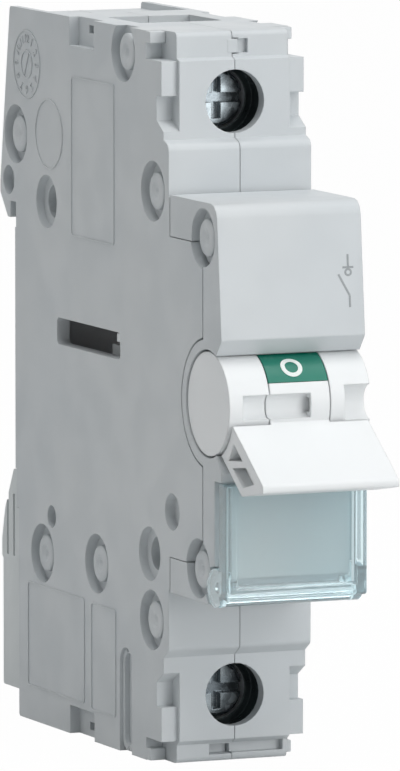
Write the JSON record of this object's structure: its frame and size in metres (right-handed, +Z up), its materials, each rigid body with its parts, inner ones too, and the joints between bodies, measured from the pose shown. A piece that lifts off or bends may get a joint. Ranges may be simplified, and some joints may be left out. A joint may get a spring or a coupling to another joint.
{
  "type": "din rail switch disconnector",
  "caption": "Slim one-pole switch for a mounting rail: two-shell grey case, white tilting toggle on the nose, screw terminals at top and bottom, sliding rail clip behind.",
  "frame": {"origin": "middle of the rail seat, on the centre line of the rail", "axes": "+Z up along the device's height, -Y out of its front, +X across its width"},
  "size_m": [0.0176, 0.0768, 0.083],
  "materials": {
    "housing_grey": "fine satin moulded light grey",
    "toggle_white": "satin moulded off-white",
    "clip_grey": "fine satin moulded pale grey",
    "field_green": "printed green colour field",
    "field_red": "printed red colour field",
    "clear_polycarbonate": "clear moulded polycarbonate",
    "card_white": "plain card",
    "rivet_grey": "dull grey plated rivet",
    "zinc_plated_steel": "zinc plated",
    "cage_steel": "zinc plated, darker",
    "strip_copper": "bare copper",
    "contact_silver": "silver contact alloy"
  },
  "bodies": {
    "case": {"housing_left": "housing_grey", "housing_right": "housing_grey", "front_cover": "housing_grey", "bearing_cheek_left": "toggle_white", "bearing_cheek_right": "toggle_white", "fixed_tip_upper": "contact_silver", "fixed_tip_lower": "contact_silver", "rivet_rear_top": "rivet_grey", "rivet_top": "rivet_grey", "rivet_upper_front": "rivet_grey", "rivet_rear_low": "rivet_grey", "rivet_middle_low": "rivet_grey", "rivet_lower_front": "rivet_grey", "rivet_nose_top": "rivet_grey", "rivet_nose_low": "rivet_grey", "upper_strip": "strip_copper", "lower_strip": "strip_copper", "label_card": "card_white", "rail_clip_spring": "zinc_plated_steel"},
    "toggle": {"toggle": "toggle_white", "off_indicator": "field_green", "on_indicator": "field_red"},
    "link": {"link": "zinc_plated_steel"},
    "contact_carrier": {"contact_carrier": "clip_grey", "bridge_contact": "strip_copper", "bridge_tip_upper": "contact_silver", "bridge_tip_lower": "contact_silver", "contact_spring": "zinc_plated_steel"},
    "upper_screw": {"upper_terminal_screw": "zinc_plated_steel"},
    "lower_screw": {"lower_terminal_screw": "zinc_plated_steel"},
    "upper_clamp": {"upper_clamp_cage": "cage_steel"},
    "lower_clamp": {"lower_clamp_cage": "cage_steel"},
    "label_flap": {"label_flap": "clear_polycarbonate"},
    "rail_clip": {"rail_clip": "clip_grey"}
  },
  "joints": [
    {"name": "toggle_turn", "type": "hinge", "parent": "case", "child": "toggle", "pos_m": [0, -0.0565, 0], "axis": [-1, 0, 0], "range_deg": [0, 75]},
    {"name": "link_turn", "type": "hinge", "parent": "toggle", "child": "link", "pos_m": [0, -0.05538, 0.00487], "axis": [-1, 0, 0], "range_deg": [-98, 0]},
    {"name": "contact_slide", "type": "slide", "parent": "case", "child": "contact_carrier", "axis": [0, 1, 0], "range_m": [0, 0.00388]},
    {"name": "upper_screw_turn", "type": "hinge", "parent": "case", "child": "upper_screw", "pos_m": [0, -0.0371, 0.0326], "axis": [0, 1, 0], "range_deg": [0, 2160]},
    {"name": "upper_clamp_slide", "type": "slide", "parent": "case", "child": "upper_clamp", "axis": [0, -1, 0], "range_m": [0, 0.0048]},
    {"name": "lower_screw_turn", "type": "hinge", "parent": "case", "child": "lower_screw", "pos_m": [0, -0.0371, -0.03485], "axis": [0, 1, 0], "range_deg": [0, 2160]},
    {"name": "lower_clamp_slide", "type": "slide", "parent": "case", "child": "lower_clamp", "axis": [0, -1, 0], "range_m": [0, 0.0048]},
    {"name": "label_flap_turn", "type": "hinge", "parent": "case", "child": "label_flap", "pos_m": [0, -0.0583, -0.0205], "axis": [1, 0, 0], "range_deg": [0, 90]},
    {"name": "rail_clip_slide", "type": "slide", "parent": "case", "child": "rail_clip", "axis": [0, 0, -1], "range_m": [0, 0.0045], "stiffness_N_per_m": 200, "springref_m": -0.002, "deforming": ["rail_clip_spring"]}
  ],
  "couplings": [
    {"joint": "toggle_turn", "follows": "contact_slide", "rad_per_m": 337.24},
    {"joint": "link_turn", "follows": "contact_slide", "rad_per_m": -438.75},
    {"joint": "upper_screw_turn", "follows": "upper_clamp_slide", "rad_per_m": 7854},
    {"joint": "lower_screw_turn", "follows": "lower_clamp_slide", "rad_per_m": 7854}
  ]
}
